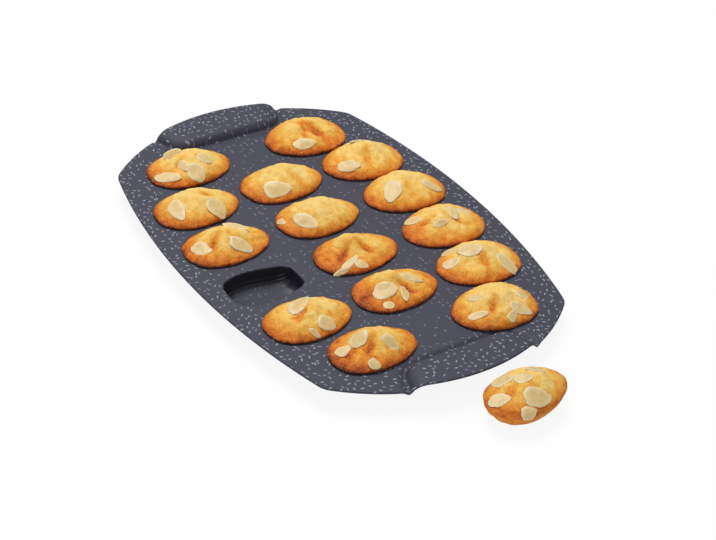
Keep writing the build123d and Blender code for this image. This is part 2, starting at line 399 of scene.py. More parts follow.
def outward(loop):
    """The level direction that points out of a closed loop of points, at each of them"""
    ahead = np.roll(loop, -1, 0) - np.roll(loop, 1, 0)
    normals = np.stack((ahead[:, 1], -ahead[:, 0]), 1)
    return normals / np.linalg.norm(normals, axis=1, keepdims=True)


def ring_at(loop, offset, level):
    """The plan of a closed loop drawn outwards by an offset and set at a level"""
    flat = loop[:, :2]
    return np.column_stack((flat + outward(flat) * offset, np.full(len(flat), level)))


print("a cup has", flute_count, "flutes")

# %% [markdown]
# The places of the cups come from the frame: the box of every seated cake gives the middle of
# its cup. The empty cup mirrors the one on the other side of its row. Cups in the right-hand
# column are turned end for end, with their hinge ends towards the middle of the tray.

# %% Find the cups in the frame
empty_cup = "row4_left"
turned_out = "turned_out"
cake_names = [name.removeprefix("madeleine_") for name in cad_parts
              if name.startswith("madeleine_")]
cup_places = {}
for name in cake_names:
    low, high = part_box("madeleine_" + name)
    middle = (low + high) / 2 / mm
    if name != turned_out:
        cup_places[name] = (middle.x, middle.y, pi if name.endswith("_right") else 0.0)
opposite = cup_places[empty_cup.replace("left", "right")]
cup_places[empty_cup] = (opposite[0], -opposite[1], 0.0)


def turn_about(points, place, level):
    """Points of one cup or cake, turned and carried to its place"""
    x, y, angle = place
    turned = points.copy()
    turned[:, 0] = points[:, 0] * cos(angle) - points[:, 1] * sin(angle) + x
    turned[:, 1] = points[:, 0] * sin(angle) + points[:, 1] * cos(angle) + y
    turned[:, 2] += level
    return turned


print(len(cup_places), "cups")

# %% [markdown]
# The tray is one closed mesh. Its flat faces, above and below, are triangulated between the
# outline and the sixteen holes, with extra points only where the handles rise. Rings of quads
# round the rim and the mouths, and the bent sheets close the cups. Subdividing a coarser mesh
# would soften the flutes and the crisp foot of a handle.

# %% Mesh of the tray
rim_width = 5.0
rim_top_round = 1.2
rim_foot_round = 0.8
round_steps = 5
inside_columns, inside_rows = 48, 40
outside_columns, outside_rows = 32, 28
shell_fillet = 1.3
foot_trim = 0.5
merge_gap = 1e-6

# A flat ring this wide, beside each round, keeps the shading of the flat faces even
guard_width = 0.5

# Where in its depth a cup's floor starts, and the share of polish and painted shade it lacks
floor_start_share, floor_matt_unshaded_share = 0.84, 0.9

# The spacing of the loose points on a handle, how far they follow its flared side, and how
# far inside its foot each row of them lies
point_spacing = 1.6
handle_side_run = 50.0
foot_insets = (-8.0, -6.2, -4.8, -3.6, -2.4, -1.4, -0.6, 0.0,
               0.4, 0.9, 1.6, 2.5, 3.6, 4.9, 6.5, 8.5, 11.0, 14.5)

tray_points = []
tray_faces = []
tray_in_cup = []


def add_points(points, in_cup=0.0):
    """Adds points to the tray, with shares of cup polish and painted shade, and gives their numbers"""
    start = len(tray_points)
    tray_points.extend(points)
    tray_in_cup.extend(np.broadcast_to(in_cup, len(points)))
    return list(range(start, len(tray_points)))


def rim_ring(inset, drop):
    """The outline drawn in by an inset, at a drop below the upper face"""
    flat = outline - outline_ways * inset
    height = top_level(outline - outline_ways * max(inset, 0)) - drop
    return np.column_stack((flat, height))


def rings_to_strips(rings, in_cup=None):
    """Adds closed rings one after another, joins them and gives the first and the last"""
    numbers = [add_points(ring, share) for ring, share in zip(rings, in_cup or [0.0] * len(rings))]
    for before, after in zip(numbers, numbers[1:]):
        tray_faces.extend(strip_faces(before, after))
    return numbers[0], numbers[-1]


def triangulate(outer, holes, loose):
    """Fills the plan between an outer loop and the holes with triangles"""
    given = list(outer) + [n for hole in holes for n in hole] + list(loose)
    edges = []
    owner = {}
    start = 0
    for index, loop in enumerate((outer, *holes)):
        count = len(loop)
        edges += [(start + i, start + (i + 1) % count) for i in range(count)]
        owner.update({start + i: index for i in range(count)})
        start += count
    result = delaunay_2d_cdt([Vector(tray_points[n][:2]) for n in given], edges, [], 0, merge_gap)
    assert len(result[0]) == len(given)
    for corners in result[2]:
        owners = {owner.get(corner, -1) for corner in corners}
        if len(owners) > 1 or owners.pop() < 1:
            tray_faces.append([given[corner] for corner in corners])


def foot_path(inset):
    """Places along a handle's foot, drawn in by an inset, from the middle of its inner edge"""
    steps = int(corner_y / point_spacing)
    path = [(handle_start + inset, corner_y * step / steps) for step in range(steps)]
    radius = handle_corner - inset
    steps = int(handle_corner * (pi / 2 - flare) / point_spacing)
    for step in range(steps):
        angle = (pi / 2 - flare) * step / steps
        path.append((corner_x - radius * cos(angle), corner_y + radius * sin(angle)))
    last = np.array((corner_x - radius * sin(flare), corner_y + radius * cos(flare)))
    ahead = np.array((cos(flare), sin(flare)))
    runs = np.arange(0, handle_side_run, point_spacing)
    return path + [tuple(last + ahead * run) for run in runs]


def handle_points(level_of, inset, cup_margin):
    """Loose points over both handles: rows along the foot where it climbs, and a grid on top"""
    spots = [spot for row_inset in foot_insets for spot in foot_path(row_inset)]
    spots += [(x, y) for x in np.arange(corner_x, tray_length / 2, 2 * point_spacing)
              for y in np.arange(0, corner_y, 2 * point_spacing)]
    x, y = np.array(spots).T
    away = np.array(spots)[:, None] - outline
    nearest = np.argmin(np.linalg.norm(away, axis=2), axis=1)
    from_edge = -np.sum(away[range(len(spots)), nearest] * outline_ways[nearest], axis=1)
    kept = from_edge > inset + point_spacing / 2
    for cup_x, cup_y, _ in cup_places.values():
        kept &= ((np.abs(x - abs(cup_x)) > cup_width / 2 + cup_margin)
                 | (np.abs(y - abs(cup_y)) > cup_length / 2 + cup_margin))
    one_side = np.column_stack((x[kept], y[kept]))
    off_axis = one_side[one_side[:, 1] > 0]
    one_handle = np.concatenate((one_side, off_axis * (1, -1)))
    both = np.concatenate((one_handle, one_handle * (-1, 1)))
    return np.column_stack((both, level_of(both)))


def round_over(loop, radius, level):
    """Rings that round a flat face, at a level, into a wall that starts at a loop"""
    return [ring_at(loop, radius + guard_width, level)] + [
        ring_at(loop, radius * (1 - sin(a)), level - radius * (1 - cos(a))) for a in arc[:-1]]


# Rings from the upper face over the rim and back under it
arc = np.linspace(0, pi / 2, round_steps + 1)
rim_thick = thickness(outline, rim_thickness)
web_thick = thickness(outline - outline_ways * rim_width, web_thickness)
upper_inset = rim_top_round + guard_width
under_inset = rim_width + rim_foot_round + guard_width
rim_steps = (
    (upper_inset, 0),
    *((rim_top_round * (1 - sin(a)), rim_top_round * (1 - cos(a))) for a in arc),
    *((rim_foot_round * (1 - cos(a)), rim_thick - rim_foot_round * (1 - sin(a))) for a in arc),
    (rim_width - rim_foot_round, rim_thick),
    (rim_width + rim_foot_round, web_thick),
    (under_inset, web_thick))
top_edge, under_edge = rings_to_strips([rim_ring(*step) for step in rim_steps])

# One cup, from the upper face down, and its outside, from the underside down
inside = bowl_sheet(
    cup_length / 2, cup_width / 2, mouth_round, cup_depth, inside_columns, inside_rows,
    flute_depth_share, cup_power)
outside = bowl_sheet(
    cup_length / 2 + cup_wall, cup_width / 2 + cup_wall, web_thickness + shell_fillet,
    cup_depth + cup_wall + foot_trim, outside_columns, outside_rows, 0, shell_power)
outside[0][:, 2] = np.maximum(outside[0][:, 2], -web_top)
sunk_shares = -inside[0][:, 2] / cup_depth
# The floor keeps less of the cups' gloss and less of the walls' painted shade
polish_and_shade_shares = 1 - floor_matt_unshaded_share * ease((sunk_shares - floor_start_share) / (1 - floor_start_share))
mouth_rings = round_over(inside[0][inside[2]], mouth_round, 0)
mouth_shares = [0.0] + [float(ease(sin(a))) for a in arc[:-1]]
fillet_rings = round_over(outside[0][outside[2]], shell_fillet, -web_thickness)
mouths = []
shells = []
for place in cup_places.values():
    for rings, ring_shares, (sheet, number, edge), sheet_shares, holes in (
            (mouth_rings, mouth_shares, inside, polish_and_shade_shares, mouths),
            (fillet_rings, None, outside, 0.0, shells)):
        hole, last = rings_to_strips([turn_about(ring, place, web_top) for ring in rings], ring_shares)
        bowl = add_points(turn_about(sheet, place, web_top), sheet_shares)
        tray_faces.extend(strip_faces(last, [bowl[n] for n in edge]))
        tray_faces.extend(sheet_faces(number, bowl[0]))
        holes.append(hole)

upper_loose = add_points(handle_points(top_level, upper_inset, mouth_round + 2 * guard_width))
triangulate(top_edge, mouths, upper_loose)
under_loose = add_points(handle_points(
    lambda flat: top_level(flat) - thickness(flat, web_thickness),
    under_inset, cup_wall + shell_fillet + 2 * guard_width))
triangulate(under_edge, shells, under_loose)
print("tray mesh:", len(tray_points), "points,", len(tray_faces), "faces")

# %% [markdown]
# The tray is platinum-cured silicone rubber, compression moulded, with pale specks blended
# into the top layer. To the eye that is a matt, slightly bluish dark grey with short pale
# dashes lying every way. A Voronoi texture scatters one point in each cell. Turning the way
# to that point by the cell's random colour, and squeezing it, draws a dash there, which fades
# where a face is steep. The cups' walls were moulded against polished steel, so they have a
# gloss. Their colour is a darker grey, a painted shade for the shadow that fills the cups.
# Their floors are matt and keep nearly the web's grey.

# %% Silicone
# The cups' darker grey is painted shade for the shadow inside them
silicone_grey, silicone_cup_shade, speck_pale = "#3D3E4C", "#26262E", "#C3C4D2"
silicone_ior = 1.41
web_roughness, cup_roughness = 0.60, 0.30
mould_grain_mm, grain_depth_mm, grain_strength = 0.5, 0.2, 0.12
speck_spacing_mm, speck_length_mm, speck_width_mm = 5.6, 3.2, 1.25
speck_scatter_share = 0.85
speck_edge_shares = (1.25, 0.45)

# Where the rim's zone starts and ends, and then for the middle and for the rim: the share of
# the dashes that shows, and their strength. Each dash also has a strength of its own
rim_zone_shares = (0.74, 0.93)
shown_shares = (0.42, 0.86)
strength_shares = (0.32, 0.70)
own_strength_shares = (0.45, 1.0)

# How much of a dash is left on a steep face, and how upright a face's way out is where the
# dashes begin to return and where they are full
steep_share, upright_levels = 0.25, (0.35, 0.75)


def moulded_silicone():
    """Dark silicone rubber with pale dashes, dense at the rim and the handles, and painted shade on the
    cups' walls
    """
    material, tree = new_material("moulded_silicone_rubber")
    coordinates = add_node(tree, "ShaderNodeTexCoord").outputs
    place = coordinates["Object"]
    cell = add_node(tree, "ShaderNodeTexVoronoi", {
        "Vector": place, "Scale": 1 / (speck_spacing_mm * mm), "Randomness": speck_scatter_share},
        voronoi_dimensions="2D").outputs
    chance = add_node(tree, "ShaderNodeSeparateColor", {"Color": cell["Color"]}).outputs
    turned = add_node(tree, "ShaderNodeVectorRotate", {
        "Vector": vector_maths(tree, "SUBTRACT", place, cell["Position"]),
        "Angle": maths(tree, "MULTIPLY", chance["Red"], 2 * pi)}, rotation_type="Z_AXIS").outputs[0]
    squeezed = vector_maths(
        tree, "MULTIPLY", turned, (2 / (speck_length_mm * mm), 2 / (speck_width_mm * mm), 0))
    dash = remap(tree, vector_maths(tree, "LENGTH", squeezed), *speck_edge_shares)
    outwards = vector_maths(
        tree, "MULTIPLY", place, (2 / (tray_length * mm), 2 / (tray_width * mm), 0))
    rim_zone = remap(tree, vector_maths(tree, "LENGTH", outwards), *rim_zone_shares)
    shown = maths(tree, "LESS_THAN", chance["Green"], remap(tree, rim_zone, 0, 1, *shown_shares))
    in_cup = add_node(tree, "ShaderNodeAttribute", attribute_name="in_cup").outputs["Fac"]
    upright = add_node(tree, "ShaderNodeSeparateXYZ", {"Vector": coordinates["Normal"]}).outputs["Z"]
    speck = dash
    for share in (shown, remap(tree, rim_zone, 0, 1, *strength_shares),
                  remap(tree, chance["Blue"], 0, 1, *own_strength_shares),
                  remap(tree, upright, *upright_levels, steep_share, 1),
                  maths(tree, "SUBTRACT", 1.0, in_cup)):
        speck = maths(tree, "MULTIPLY", speck, share)
    # Painted shade: the ground turns to the cups' darker grey on their walls
    ground = mixed(tree, in_cup, paint(silicone_grey), paint(silicone_cup_shade))
    grain = noise_level(tree, place, mould_grain_mm, detail=2)
    end_in_surface(tree, grain, grain_strength, grain_depth_mm, {
        "Base Color": mixed(tree, speck, ground, paint(speck_pale)), "IOR": silicone_ior,
        "Roughness": remap(tree, in_cup, 0, 1, web_roughness, cup_roughness)})
    return material


silicone = moulded_silicone()
tray = mesh_piece("silicone_tray", tray_points, tray_faces, silicone, {"in_cup": tray_in_cup})
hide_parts("mould_tray")
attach(tray, "tray")
print("tray has", len(tray.data.vertices), "points")

# %% [markdown]
# A madeleine has two faces. The belly is cast by the cup, so it takes the same bent sheet, a
# little smaller. The crown rises freely above the web and runs out over the mouth into a thin
# browned lip, so it takes a rounder sheet of its own. Each crown has a hump where the batter
# rose most, and valleys that run away from it where it tore, given as shares of the cake's
# half length and half width. Noise adds the smaller lumps, and the tops are flattened softly
# to stay below the CAD model's. The cake that was turned out shows its belly, which is
# rounder and nearly as wide as its lip.

# %% Shape of a madeleine
cake_length = 76.0
cake_width = 48.0
cake_clearance = 0.4
lip_top = 2.1
crown_rise = 11.2
crown_power = 2.15
crown_side_power = 0.66
crown_end_power = 1.0
soft_top, soft_top_reach = 14.6, 2.9
broad_crown_share = 1.12
broad_crown_shift = (-1.5, 2.0)
crown_columns, crown_rows = 56, 76
belly_flat = 0.4
bare_inset = 0.4
bare_wall_power = 2.3
turned_out_place = (230.2, 18.0, radians(7))
turned_out_level = cup_depth - cake_clearance - belly_flat
crown_taper_shares = ((-1.0, 1.12), (-0.5, 1.05), (0.0, 1.0), (0.45, 0.95), (1.0, 0.86))

# The noise on a crown: the size and height of its lumps, its folds and where they tear, and
# how much its lip wanders. The two holds keep swellings and lumps off the lip, and the seed
# makes every crown different
crown_lumps = ((12.0, 1.4), (5.0, 1.1), (2.2, 0.3))
fold_spacing, fold_depth, fold_width_share = 8.5, 1.4, 0.12
torn_start_share, torn_growth_share = 0.45, 0.4
ragged_share = 0.02
swelling_hold, lump_hold = 1.8, 3
seed_step, seed_rest = 37.0, (11.0, 5.0)

# How deep a valley is that counts as fully hollow, and how hollow a torn fold counts
hollow_depth = 3.0
torn_hollow_share = 0.35

# The hump on each cake, its smaller bumps and its hollows: where along and across the cake, the
# height and the radius
swellings = {
    "row1_left": ((0.0, -0.05, 4.2, 12), (0.35, -0.3, 1.3, 7), (-0.3, 0.1, -1.2, 5)),
    "row1_right": ((0.0, 0.15, 5.4, 13), (0.45, 0.1, 1.8, 8),
                   (-0.1, -0.1, -6.0, 8), (0.15, -0.25, -2.2, 5)),
    "row2_left": ((0.0, -0.1, 4.4, 13), (-0.25, -0.2, 1.0, 7),
                  (0.22, 0.0, -3.2, 5), (0.5, 0.1, 1.2, 7)),
    "row2_middle": ((0.0, -0.05, 4.4, 13), (0.1, -0.2, 1.0, 7), (0.15, 0.35, -1.6, 7)),
    "row2_right": ((-0.1, 0.2, 5.2, 12), (-0.3, 0.1, 1.4, 6), (0.05, -0.3, -2.6, 6)),
    "row3_left": ((-0.1, -0.2, 6.8, 11), (-0.35, 0.05, -3.0, 5),
                  (0.4, 0.1, 1.8, 8), (0.1, 0.15, -1.6, 5)),
    "row3_middle": ((-0.05, -0.05, 4.0, 14), (0.41, -0.05, -1.6, 3), (0.15, 0.2, -0.9, 6)),
    "row3_right": ((0.0, 0.15, 4.4, 13), (0.3, 0.0, 1.0, 7), (0.05, -0.35, -1.8, 6)),
    "row4_middle": ((-0.1, -0.25, 9.6, 10), (0.35, 0.25, 2.2, 8),
                    (-0.4, 0.1, -2.6, 6), (0.1, 0.15, -3.4, 5)),
    "row4_right": ((0.05, 0.15, 5.4, 12), (0.45, 0.1, -2.4, 5),
                   (0.2, -0.1, 1.8, 4), (-0.2, -0.25, -2.4, 5)),
    "row5_left": ((0.0, -0.1, 5.0, 12), (0.5, 0.0, 1.6, 8),
                  (-0.2, 0.1, -3.0, 5), (0.3, 0.3, -1.6, 5)),
    "row5_middle": ((-0.12, -0.25, 9.2, 10), (-0.65, -0.1, -2.0, 7),
                    (0.1, 0.3, -3.0, 5), (0.4, 0.0, 2.0, 7)),
    "row5_right": ((0.0, 0.2, 5.2, 12), (0.05, -0.3, -3.0, 6), (0.4, 0.1, 1.6, 6)),
    "row6_left": ((0.0, -0.15, 6.6, 11), (-0.2, 0.2, -3.4, 5),
                  (-0.6, 0.1, -1.8, 5), (0.35, 0.1, 1.4, 6)),
    "row6_right": ((-0.05, 0.1, 5.2, 11), (0.2, -0.25, -2.6, 5),
                   (0.35, 0.1, 1.6, 5), (-0.3, -0.1, 1.4, 5)),
    "turned_out": ((0.0, -0.1, 4.2, 14), (-0.1, 0.3, -2.4, 5),
                   (0.35, -0.1, 1.2, 6), (-0.45, 0.0, -2.0, 5)),
}

# How high the crown round each hump stands, where it stands lower than the others
rise_shares = {"row1_right": 0.9, "row3_left": 0.82, "row4_middle": 0.64, "row4_right": 0.86,
               "row5_middle": 0.68, "row5_left": 0.9, "row6_left": 0.82}
valley_length_share, valley_width_share = 1.7, 0.7


def half_crown(name):
    """Half the width of a cake's crown, which is broader in the right-hand column"""
    return cake_width / 2 * (broad_crown_share if name.endswith("_right") else 1)


def crown_sheet(name, half_width):
    """Points of one risen crown, its share of hollow at each point and the points' numbers"""
    u, v = np.meshgrid(*(np.sin(np.linspace(-pi / 2, pi / 2, count + 1))
                         for count in (crown_columns, crown_rows)))
    x_share, y_share = bent_square(u, v, crown_power, crown_taper_shares)
    x = half_width * x_share
    y = cake_length / 2 * y_share
    risen = (1 - u * u) ** crown_side_power * (1 - v * v) ** crown_end_power
    height = crown_rise * rise_shares.get(name, 1) * risen
    hollow = np.zeros_like(height)
    half_sizes = np.array((cake_length / 2, half_width))
    hump = np.array(swellings[name][0][:2]) * half_sizes
    for along_share, across_share, swell, radius in swellings[name]:
        spot = np.array((along_share, across_share)) * half_sizes
        ahead, beside = y - spot[0], x - spot[1]
        if swell < 0:
            way = (spot - hump) / np.linalg.norm(spot - hump)
            ahead, beside = ((ahead * way[0] + beside * way[1]) / valley_length_share,
                             (beside * way[0] - ahead * way[1]) / valley_width_share)
        bump = swell * np.exp(-(ahead ** 2 + beside ** 2) / radius ** 2) * ease(risen * swelling_hold)
        height += bump
        hollow += np.maximum(-bump, 0) / hollow_depth
    points = np.stack((x, y, lip_top + height), -1).reshape(-1, 3)
    risen, hollow = risen.ravel(), hollow.ravel()
    seed = Vector((sorted(swellings).index(name) * seed_step, *seed_rest))
    held = ease(risen * lump_hold)
    open_to_tears = ease((risen - torn_start_share) / torn_growth_share)
    for number, (px, py, pz) in enumerate(points):
        spot = Vector((px, py, pz / 2)) + seed
        lumps = sum(lump_height * noise.noise(spot / size) for size, lump_height in crown_lumps)
        fold = max(0.0, 1 - abs(noise.noise(spot / fold_spacing)) / fold_width_share) ** 2
        torn = fold * open_to_tears[number]
        points[number, 2] += held[number] * lumps - fold_depth * torn
        hollow[number] += torn_hollow_share * torn
        ragged = noise.noise(Vector((px, py, 0)) / crown_lumps[0][0] + seed)
        points[number, :2] *= 1 + (1 - held[number]) * ragged_share * ragged
    over = np.maximum(points[:, 2] - soft_top, 0)
    points[:, 2] += soft_top_reach * np.tanh(over / soft_top_reach) - over
    return points, hollow, *numbered(crown_rows, crown_columns)


belly_points, belly_number, belly_edge = bowl_sheet(
    cup_length / 2 - cake_clearance, cup_width / 2 - cake_clearance, mouth_round,
    cup_depth - cake_clearance, crown_columns, crown_rows, flute_depth_share, cup_power)
bare_belly_points = bowl_sheet(
    cake_length / 2 - bare_inset, cake_width / 2 - bare_inset, -lip_top / 2, cup_depth - cake_clearance,
    crown_columns, crown_rows, flute_depth_share, bare_wall_power, crown_power, crown_taper_shares)[0]

# Rings under the lip, from the crown's edge, and rings above the belly, from the belly's: how
# far out each lies, and at what height
lip_steps = ((0.3, 1.75), (0.3, 1.35), (0.0, 1.0), (-1.2, 0.8), (-2.6, 0.7))
neck_steps = ((1.5, 0.3), (0.8, -0.2), (0.3, -0.8))
bare_lip_steps = lip_steps[:2]


def shape_cake(name):
    """Points and faces of one whole cake in its own frame, and its hollows"""
    crown, hollow, number, edge = crown_sheet(name, half_crown(name))
    if name.endswith("_right"):
        crown[:, :2] += broad_crown_shift
    if name == turned_out:
        belly = bare_belly_points
        rings = [ring_at(crown[edge], *step) for step in bare_lip_steps]
    else:
        belly = belly_points
        rings = [ring_at(crown[edge], *step) for step in lip_steps]
        rings += [ring_at(belly[belly_edge], *step) for step in neck_steps]
    start = len(crown) + len(rings) * len(edge)
    loops = [edge, *np.arange(len(crown), start).reshape(len(rings), -1).tolist(),
             [n + start for n in belly_edge]]
    faces = sheet_faces(number, 0)
    for before, after in zip(loops, loops[1:]):
        faces += strip_faces(before, after)
    faces += sheet_faces(belly_number, start)
    points = np.concatenate((crown, *rings, belly))
    return points, faces, np.concatenate((hollow, np.zeros(len(points) - len(hollow))))


print("a crown has", crown_columns, "by", crown_rows, "faces")

# %% [markdown]
# Baked sponge is pale where it rose last and browned where it lay thin against the hot tray:
# round the lip, along the flutes of the belly and in the torn hollows. The height above the
# web drives that browning, noise breaks it up, and a colour ramp turns it from cream through
# gold to dark crust. A fine bump stands for the open crumb, whose pores are under 1 mm wide.

# %% Baked sponge
crumb_mm, crumb_depth_mm, crumb_strength = 1.4, 1.0, 0.8
patch_mm = 6.0
patch_shift_share, crumb_shift_share = 0.16, 0.12
patch_levels, crumb_levels = (0.25, 0.75), (0.3, 0.7)
sponge_glow_mm, sponge_glow_share = (4, 2, 1), 0.08

# How browned the sponge is anywhere, low down, in a full hollow, on the side towards the
# camera, which is painted shade, and at the thin lip, and then on the belly and at most
browned_least, browned_low, browned_hollow, browned_shade, browned_lip = 0.05, 0.60, 0.42, 0.11, 0.14
browned_belly, browned_most = 0.62, 0.95
browned_under_lip, belly_top = 0.3, -0.2
browning_height_mm = 12.5
thin_edge_mm = 1.4
# The plan way towards the camera, whose side of each cake gets painted shade as browning
shaded_side = (0.77, -0.63)

# The cake that was turned out is nowhere as dark, and paler still on its belly
bare_browned_most, bare_belly_paler, bare_belly_fade_mm = 0.60, 0.16, 4

# How much further some cakes browned than the rest
bake_shares = {"row1_right": 0.04, "row3_left": 0.03, "row5_middle": 0.05, "row6_left": 0.12,
               "row4_middle": 0.04, "turned_out": 0.06}
baked_colours = ((0.0, "#F8D582"), (0.2, "#F3C05A"), (0.4, "#E99F38"), (0.6, "#DA7A22"),
                 (0.8, "#B25417"), (1.0, "#5C270D"))


def baked_sponge():
    """Golden sponge with a browned lip and an open crumb"""
    material, tree = new_material("baked_sponge_crust")
    place = add_node(tree, "ShaderNodeTexCoord").outputs["Object"]
    level = add_node(tree, "ShaderNodeAttribute", attribute_name="browned").outputs["Fac"]
    patches = noise_level(tree, place, patch_mm, detail=3, roughness=0.55)
    crumb = noise_level(tree, place, crumb_mm, detail=3, roughness=0.6)
    for shift in (remap(tree, patches, *patch_levels, -patch_shift_share, patch_shift_share),
                  remap(tree, crumb, *crumb_levels, crumb_shift_share, -crumb_shift_share)):
        level = maths(tree, "ADD", level, shift)
    ramp = add_node(tree, "ShaderNodeValToRGB", {"Fac": level})
    stops = ramp.color_ramp.elements
    while len(stops) < len(baked_colours):
        stops.new(baked_colours[-1][0])
    for stop, (position, colour) in zip(stops, baked_colours):
        stop.position = position
        stop.color = paint(colour)
    end_in_surface(tree, crumb, crumb_strength, crumb_depth_mm, {
        "Base Color": ramp.outputs["Color"], "Roughness": 0.65, "IOR": 1.45, "Specular IOR Level": 0.3,
        "Subsurface Weight": sponge_glow_share, "Subsurface Scale": 1.0,
        "Subsurface Radius": [depth * mm for depth in sponge_glow_mm]})
    return material


sponge = baked_sponge()
seats = {name: (place, web_top) for name, place in cup_places.items()}
seats[turned_out] = (turned_out_place, turned_out_level)
cakes = {}
for name in cake_names:
    points, faces, hollow = shape_cake(name)
    height = points[:, 2]
    place, level = seats[name]
    # Painted shade: a point is browned further the closer it lies to the camera's side
    towards_shade = turn_about(points, (0, 0, place[2]), 0)[:, :2] @ shaded_side / (cake_width / 2)
    low_down = 1 - ease(height / browning_height_mm)
    thin_edge = 1 - ease((height - lip_top) / thin_edge_mm)
    browned = (browned_least + browned_low * low_down + browned_hollow * np.minimum(hollow, 1)
               + browned_shade * towards_shade + browned_lip * thin_edge)
    if name == turned_out:
        paler = bare_belly_paler * ease((lip_top - height) / bare_belly_fade_mm)
        browned = np.minimum(browned, bare_browned_most) - paler
    else:
        browned += browned_under_lip * (1 - ease(height / lip_top))
        browned = np.where(height < belly_top, browned_belly, browned)
    browned = np.clip(browned, 0, browned_most) + bake_shares.get(name, 0)
    points = turn_about(points, place, level)
    points[:, 2] = np.maximum(points[:, 2], 0)
    cake = mesh_piece("sponge_" + name, points, faces, sponge, {"browned": browned})
    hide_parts("madeleine_" + name)
    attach(cake, "cake_" + name)
    cakes[name] = cake
print(len(cakes), "madeleines of", len(cakes[turned_out].data.vertices), "points each")

# %% [markdown]
# Flaked almonds are thin slices cut across a blanched nut. Each is a pointed oval under 1 mm
# thick, pale and slightly waxy, and paler towards its edge. Baked onto the crown, it follows
# the bumps beneath only in part. The places are listed one by one, as in the CAD model. There
# rays find the slope of the crown, the leaf is laid out in that plane, and its points are let
# down along the slope's own upright.

# %% Flaked almonds
flake_length = 20.0
flake_width = 12.0
flake_taper_share = 0.2
leaf_thickness = 0.8
leaf_columns = 28
leaf_bend_share = 0.6
leaf_lift = 0.3
standing_tip = radians(30)
standing_rise_share = 0.7
slope_reach = 3.5
slope_spots = 12
ray_reach = 30.0
crown_width_shares = ((-1.0, 0.34), (-0.86, 0.68), (-0.52, 0.94), (-0.05, 1.0),
                      (0.42, 0.90), (0.76, 0.65), (0.93, 0.40), (1.0, 0.18))
nut_dark, nut_pale, nut_edge_pale = "#D9B472", "#EACD94", "#F6E2B8"
cloud_mm, cloud_depth_mm, cloud_strength = 3.0, 0.3, 0.2
nut_glow_mm, nut_glow_share = (3, 2, 1), 0.25

# The rings of a leaf, from its edge to its middle point: how far out each lies, how much of
# the thickness is rounded off there, and how much of the edge's paleness it has
leaf_ring_shares = (1.0, 0.95, 0.8, 0.55, 0.28, 0)
leaf_round_shares = (0.5, 0.12, 0, 0, 0, 0)
leaf_pale_edge_shares = (1.0, 0.8, 0.25, 0, 0, 0)

# How a leaf's outline wanders: how far as a share, how tightly, and how unlike the next leaf's
wobbles = ((0.16, 1.3, 7.1), (0.09, 4.0, 3.7))

# On each cake: where along it and across it as shares of its half sizes, how far turned and
# how far tipped in degrees, and shares of a flake's length and width
flake_shares = {
    "row1_left": (
        (-0.7, 0.46, 32, 0, 1.2, 0.83), (-0.28, 0.3, 81, 0, 0.63, 0.72),
        (-0.1, 0.72, 85, 0, 0.95, 1.25), (0.27, 0.28, 42, 0, 0.72, 0.95),
        (-0.3, -0.35, 10, 60, 0.85, 0.6)),
    "row1_right": ((0.36, -0.72, -159, 0, 0.97, 0.93),),
    "row2_left": ((-0.58, 0.2, 102, 0, 1.1, 1.09), (0.24, 0.68, 70, 0, 1.1, 1.3)),
    "row2_middle": ((-0.39, 0.58, 22, 0, 1.2, 1.3),),
    "row2_right": ((0.62, -0.5, -151, 0, 1.04, 1.0), (-0.16, 0.45, -177, 0, 1.2, 0.9)),
    "row3_left": (
        (-0.66, 0.05, 61, 0, 0.86, 1.1), (0.13, 0.56, 48, 0, 1.15, 1.05),
        (0.3, -0.3, 50, 35, 1.1, 0.58)),
    "row3_middle": ((-0.5, 0.37, 58, 0, 1.15, 1.03), (-0.88, -0.3, 74, 0, 0.47, 0.54)),
    "row3_right": ((0.5, -0.29, -36, 0, 1.2, 1.2), (-0.49, -0.49, -144, 0, 1.04, 0.85)),
    "row4_middle": (
        (-0.45, 0.6, -17, 0, 1.05, 0.54), (-0.24, 0.78, 46, 0, 0.65, 0.65),
        (-0.7, 0.84, -4, 25, 0.78, 0.4)),
    "row4_right": (
        (-0.23, 0.03, -61, 15, 1.0, 0.9), (0.29, -0.33, -179, 0, 0.75, 0.51),
        (0.65, 0.55, -151, 0, 0.81, 0.8), (-0.62, 0.14, -154, 0, 0.64, 0.8)),
    "row5_left": (
        (-0.14, -0.28, -15, 20, 1.15, 1.1), (0.14, 0.72, 45, 0, 0.81, 0.94),
        (-0.2, 0.86, 66, 10, 0.6, 0.41)),
    "row5_middle": (
        (-0.39, 0.2, 11, 0, 1.03, 1.3), (-0.02, 0.52, 115, 0, 0.86, 0.62),
        (-0.5, 0.74, 18, 0, 0.48, 0.62), (0.36, 0.05, 40, 10, 0.92, 0.62)),
    "row5_right": (
        (0.24, 0.1, -164, 0, 1.1, 1.15), (0.72, 0.1, -172, 0, 0.8, 0.8),
        (-0.39, -0.7, -115, 0, 1.15, 1.05), (0.5, 0.7, -150, 20, 0.7, 0.5)),
    "row6_left": (
        (-0.3, -0.23, -9, 0, 0.93, 1.1), (-0.69, -0.2, 9, 0, 0.69, 0.83),
        (0.23, 0.38, 64, 15, 0.85, 0.76), (-0.34, 0.8, 53, 0, 0.53, 0.74)),
    "row6_right": (
        (0.66, -0.47, -164, 0, 0.86, 0.59), (0.44, 0.24, -161, 0, 0.66, 0.67),
        (-0.28, -0.7, -139, 0, 1.0, 0.9), (-0.6, -0.2, -151, 0, 0.65, 0.9),
        (0.02, -0.84, 142, 0, 0.62, 0.65)),
    "turned_out": (
        (-0.15, 0.62, 28, 0, 1.16, 1.34), (-0.76, -0.08, 32, 0, 0.9, 1.0),
        (-0.5, 0.88, 14, 0, 0.66, 0.85), (-0.38, -0.58, 32, 0, 0.95, 1.0),
        (-0.1, -0.12, 29, 0, 0.78, 0.79), (0.36, -0.3, 33, 0, 0.8, 0.9)),
}


